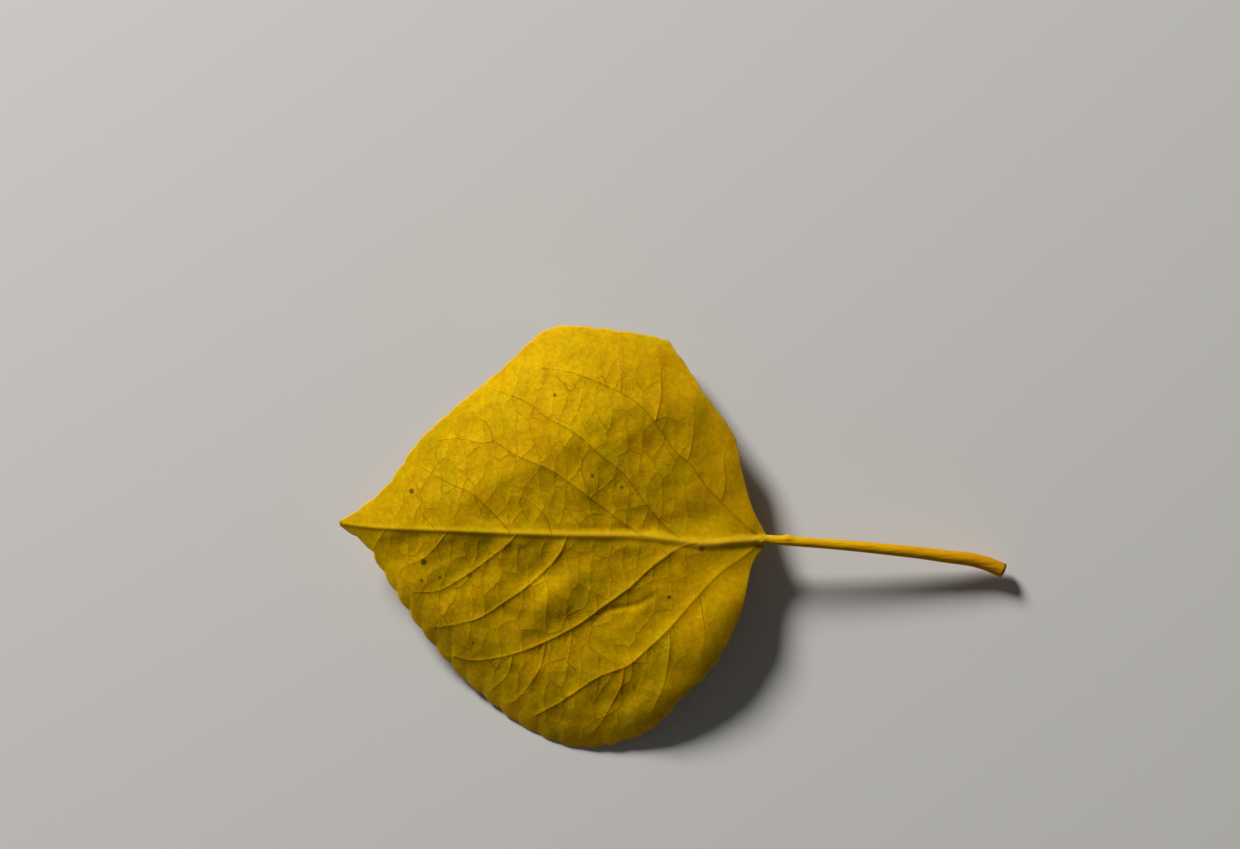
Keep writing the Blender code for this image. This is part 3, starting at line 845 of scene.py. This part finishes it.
def painted_mesh_shade(tree, plan, net_shows):
    """Painted shade: each mesh of the net is painted darker by its own amount, standing in for the differing
    tilt of the meshes.
    """
    meshes = add(
        tree, "ShaderNodeTexVoronoi",
        {"Vector": net_place(tree, plan), "Scale": 1.0, "Randomness": NET_RANDOMNESS},
        out="Color", voronoi_dimensions="2D",
    )
    meshes = add(tree, "ShaderNodeSeparateXYZ", {0: meshes})
    meshes = add(tree, "ShaderNodeMath", {0: meshes, 1: net_shows}, operation="MULTIPLY")
    return add(tree, "ShaderNodeMath", {0: meshes, 1: 0.25}, operation="MULTIPLY")


def net_lines(tree, plan, net_shows):
    """Where the lines of the net of fine veins run, fainter in some places than in others."""
    strength = add(tree, "ShaderNodeTexNoise", {"Vector": plan, "Scale": 0.35, "Detail": 2.0})
    strength = add(tree, "ShaderNodeMapRange", {0: strength, 1: 0.35, 2: 0.65, 3: 0.25, 4: 1.0})
    strength = add(tree, "ShaderNodeMath", {0: strength, 1: net_shows}, operation="MULTIPLY")
    net = add(
        tree, "ShaderNodeMapRange", {0: net_edge(tree, plan), 1: 0.01, 2: 0.045, 3: 1.0, 4: 0.0},
        interpolation_type="SMOOTHSTEP",
    )
    return add(tree, "ShaderNodeMath", {0: net, 1: strength}, operation="MULTIPLY")


def fine_lines(tree, plan, net_shows):
    """Where the lines of the finer mesh inside the net run."""
    wander = add(tree, "ShaderNodeTexNoise", {"Vector": plan, "Scale": 2.2, "Detail": 1.0}, out="Color")
    wander = add(
        tree, "ShaderNodeVectorMath", {0: wander, 1: (0.5, 0.5, 0.0), 2: plan}, operation="MULTIPLY_ADD"
    )
    fine = add(
        tree, "ShaderNodeTexVoronoi", {"Vector": wander, "Scale": 1.0 / FINE_MESH},
        voronoi_dimensions="2D", feature="DISTANCE_TO_EDGE",
    )
    fine = add(
        tree, "ShaderNodeMapRange", {0: fine, 1: 0.02, 2: 0.1, 3: 1.0, 4: 0.0},
        interpolation_type="SMOOTHSTEP",
    )
    return add(tree, "ShaderNodeMath", {0: fine, 1: net_shows}, operation="MULTIPLY")


def vein_threads(tree, note):
    """Where a thread runs along each branching vein's crest. The offset keeps the thread crisp, and the
    stored distance keeps it from showing where the nearest vein changes."""
    offset = add(tree, "ShaderNodeAttribute", out="Vector", attribute_name="to_vein")
    away = add(tree, "ShaderNodeVectorMath", {0: offset}, operation="LENGTH")
    away = add(tree, "ShaderNodeMath", {0: note["vein_distance"], 1: away}, operation="MAXIMUM")
    reach = add(tree, "ShaderNodeMath", {0: away, 1: note["vein_half_width"]}, operation="DIVIDE")
    return add(
        tree, "ShaderNodeMapRange", {0: reach, 1: 0.25, 2: 1.25, 3: 1.0, 4: 0.0},
        interpolation_type="SMOOTHSTEP",
    )


def midrib_and_margin(tree, note, place, colour):
    """Adds to the colour the midrib, paler than the tissue beside it, and the margin's pale cartilage."""
    side = add(tree, "ShaderNodeMath", {0: note["midrib_share"]}, operation="ABSOLUTE")
    pale = add(
        tree, "ShaderNodeMapRange", {0: side, 1: 0.4, 2: 1.5, 3: 1.0, 4: 0.0}, interpolation_type="SMOOTHSTEP"
    )
    to_tip = add(tree, "ShaderNodeMapRange", {0: place, 1: -45.0, 2: -5.0, 3: 0.1, 4: 0.45})
    pale = add(tree, "ShaderNodeMath", {0: pale, 1: to_tip}, operation="MULTIPLY")
    colour = add(tree, "ShaderNodeMix", {0: pale, 6: colour, 7: linear(MIDRIB_PALE)}, data_type="RGBA")
    rim = add(tree, "ShaderNodeMapRange", {0: note["from_margin"], 1: 0.02, 2: 0.2, 3: 0.35, 4: 0.0})
    return add(tree, "ShaderNodeMix", {0: rim, 6: colour, 7: linear(MARGIN_PALE)}, data_type="RGBA")


def stalk_colour(tree, fibre, along_stalk):
    """The stalk turns from the blade's yellow to a dull orange, in streaks along its fibres."""
    streak = add(tree, "ShaderNodeMapRange", {0: fibre, 1: 0.3, 2: 0.7, 3: -0.25, 4: 0.35})
    streak = add(tree, "ShaderNodeMath", {0: along_stalk, 1: streak}, operation="ADD", use_clamp=True)
    return add(
        tree, "ShaderNodeMix", {0: streak, 6: linear(STALK_YELLOW), 7: linear(STALK_ORANGE)}, data_type="RGBA"
    )


def freckled(tree, plan, colour):
    """Adds the blade's freckles to its colour."""
    for middle, radius, dark in FRECKLES:
        away = add(tree, "ShaderNodeVectorMath", {0: plan, 1: (*middle, 0.0)}, operation="SUBTRACT")
        away = add(tree, "ShaderNodeVectorMath", {0: away, 1: (1.0, 1.0, 0.0)}, operation="MULTIPLY")
        away = add(tree, "ShaderNodeVectorMath", {0: away}, operation="LENGTH")
        share = add(
            tree, "ShaderNodeMapRange",
            {0: away, 1: FRECKLE_CORE * radius, 2: FRECKLE_EDGE * radius, 3: FRECKLE_DEPTH, 4: 0.0},
            interpolation_type="SMOOTHSTEP",
        )
        colour = add(tree, "ShaderNodeMix", {0: share, 6: colour, 7: linear(dark)}, data_type="RGBA")
    return colour


def leaf_tissue():
    """Autumn leaf tissue: a thin waxy skin over cells that have lost their green. To the eye it is a satin
    golden yellow, netted with fine darker veins and mottled where the colour went unevenly."""
    material = bpy.data.materials.new("autumn_poplar_leaf")
    material.use_nodes = True
    tree = material.node_tree
    shader = tree.nodes["Principled BSDF"]
    plan = add(tree, "ShaderNodeAttribute", out="Vector", attribute_name="plan")
    place = add(tree, "ShaderNodeSeparateXYZ", {0: plan})
    names = ("net", "upturned", "from_margin", "vein_half_width", "vein_distance", "midrib_share", "stalk")
    note = {name: add(tree, "ShaderNodeAttribute", out="Fac", attribute_name=name) for name in names}

    colour = ground_colour(tree, plan, place)
    # Painted shade: each mesh of the net is darkened by its own amount, as if tilted its own way from the
    # light.
    mesh_shade_share = painted_mesh_shade(tree, plan, note["net"])
    colour = add(tree, "ShaderNodeMix", {0: mesh_shade_share, 6: colour, 7: linear(MESH_PAINTED_SHADE)}, data_type="RGBA")
    net = net_lines(tree, plan, note["net"])
    fine = fine_lines(tree, plan, note["net"])
    for lines, most in ((net, 0.5), (fine, 0.2)):
        share = add(tree, "ShaderNodeMath", {0: lines, 1: most}, operation="MULTIPLY")
        colour = add(tree, "ShaderNodeMix", {0: share, 6: colour, 7: linear(NET_BROWN)}, data_type="RGBA")
    vein = vein_threads(tree, note)
    thin = add(tree, "ShaderNodeMapRange", {0: note["vein_half_width"], 1: 0.07, 2: 0.22, 3: 0.8, 4: 0.25})
    share = add(tree, "ShaderNodeMath", {0: vein, 1: thin}, operation="MULTIPLY")
    colour = add(tree, "ShaderNodeMix", {0: share, 6: colour, 7: linear(THREAD_BROWN)}, data_type="RGBA")

    # On the face turned down the veins show as soft pale lines.
    under_vein = add(tree, "ShaderNodeMapRange", {0: note["vein_distance"], 1: 0.05, 2: 0.5, 3: 0.3, 4: 0.0})
    turned_down = add(tree, "ShaderNodeMath", {0: 1.0, 1: note["upturned"]}, operation="SUBTRACT")
    share = add(tree, "ShaderNodeMath", {0: under_vein, 1: turned_down}, operation="MULTIPLY")
    colour = add(tree, "ShaderNodeMix", {0: share, 6: colour, 7: linear(UNDER_VEIN_PALE)}, data_type="RGBA")
    colour = midrib_and_margin(tree, note, place, colour)

    fibre_place = add(tree, "ShaderNodeVectorMath", {0: plan, 1: (0.12, 2.6, 2.6)}, operation="MULTIPLY")
    fibre = add(tree, "ShaderNodeTexNoise", {"Vector": fibre_place, "Scale": 1.0, "Detail": 3.0})
    on_stalk = add(tree, "ShaderNodeMapRange", {0: note["stalk"], 1: 0.0, 2: 0.05})
    orange = stalk_colour(tree, fibre, note["stalk"])
    colour = add(tree, "ShaderNodeMix", {0: on_stalk, 6: colour, 7: orange}, data_type="RGBA")
    tree.links.new(freckled(tree, plan, colour), shader.inputs["Base Color"])

    # The veins stand out of the upturned face and are sunk into the other.
    grain = add(tree, "ShaderNodeTexNoise", {"Vector": plan, "Scale": 5.0, "Detail": 3.0})
    height = add(tree, "ShaderNodeMath", {0: net, 1: NET_LINE_RELIEF}, operation="MULTIPLY")
    for lines, relief in ((fine, FINE_MESH_RELIEF), (vein, THREAD_RELIEF)):
        height = add(tree, "ShaderNodeMath", {0: lines, 1: relief, 2: height}, operation="MULTIPLY_ADD")
    way = add(tree, "ShaderNodeMapRange", {0: note["upturned"], 3: -1.0, 4: 1.0})
    height = add(tree, "ShaderNodeMath", {0: height, 1: way}, operation="MULTIPLY")
    fibre = add(tree, "ShaderNodeMath", {0: fibre, 1: on_stalk}, operation="MULTIPLY")
    for lines, relief in ((grain, GRAIN_RELIEF), (fibre, FIBRE_RELIEF)):
        height = add(tree, "ShaderNodeMath", {0: lines, 1: relief, 2: height}, operation="MULTIPLY_ADD")
    bump = add(tree, "ShaderNodeBump", {"Height": height, "Distance": MM, "Strength": 1.0})
    tree.links.new(bump, shader.inputs["Normal"])
    satin = add(tree, "ShaderNodeMapRange", {0: grain, 1: 0.3, 2: 0.7, 3: 0.7, 4: 0.8})
    tree.links.new(satin, shader.inputs["Roughness"])
    shader.inputs["IOR"].default_value = 1.45
    shader.inputs["Specular IOR Level"].default_value = 0.2
    shader.inputs["Specular Tint"].default_value = linear("#FFC93A")
    return material


leaf, leaf_origin, leaf_scale = leaf_object(leaf_tissue())

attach(leaf, "root")
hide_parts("leaf")

# Studio: a board just under the leaf, one lamp, a dim room, and a camera straight above.
FLOOR_SIZE = 3.0
FLOOR_GAP = 0.02 * MM
KEY_TURN = math.radians(35.0)
KEY_RISE = math.radians(30.0)
KEY_DISTANCE = 1.0
KEY_SIZE = 0.28
KEY_POWER = 11.5
ROOM_STRENGTH = 0.06
VIEW_CENTRE = (-17.5, 13.8)
VIEW_WIDTH = 148.8 * MM
VIEW_LEVEL = 5.0 * MM
LENS = 100.0
SENSOR_WIDTH = 36.0

bpy.ops.mesh.primitive_plane_add(size=FLOOR_SIZE, location=(0.0, 0.0, cad_box[0][2] - FLOOR_GAP))
floor = bpy.context.object
floor.name = "floor"
paper = bpy.data.materials.new("pale_matt_board")
paper.use_nodes = True
paper.node_tree.nodes["Principled BSDF"].inputs["Base Color"].default_value = linear("#DEDBD5")
paper.node_tree.nodes["Principled BSDF"].inputs["Roughness"].default_value = 0.9
floor.data.materials.append(paper)


def toward(turn, rise):
    """A direction, turned left of +Y and raised from level."""
    return np.array([-math.sin(turn) * math.cos(rise), math.cos(turn) * math.cos(rise), math.sin(rise)])


key = bpy.data.lights.new("key", "AREA")
key.shape = "DISK"
key.size = KEY_SIZE
key.energy = KEY_POWER
lamp = bpy.data.objects.new("key", key)
lamp.location = toward(KEY_TURN, KEY_RISE) * KEY_DISTANCE
lamp.rotation_euler = (math.pi / 2 - KEY_RISE, 0.0, math.pi + KEY_TURN)
bpy.context.scene.collection.objects.link(lamp)

world = bpy.data.worlds.new("soft_room")
world.use_nodes = True
world.node_tree.nodes["Background"].inputs["Color"].default_value = linear("#FFFFFF")
world.node_tree.nodes["Background"].inputs["Strength"].default_value = ROOM_STRENGTH
bpy.context.scene.world = world
bpy.context.scene.view_settings.view_transform = "Standard"

camera_data = bpy.data.cameras.new("camera")
camera_data.lens = LENS
camera_data.sensor_width = SENSOR_WIDTH
camera = bpy.data.objects.new("camera", camera_data)
camera.location = (
    leaf_origin[0] + VIEW_CENTRE[0] * leaf_scale,
    leaf_origin[1] + VIEW_CENTRE[1] * leaf_scale,
    VIEW_LEVEL + VIEW_WIDTH * LENS / SENSOR_WIDTH,
)
bpy.context.scene.collection.objects.link(camera)
bpy.context.scene.camera = camera
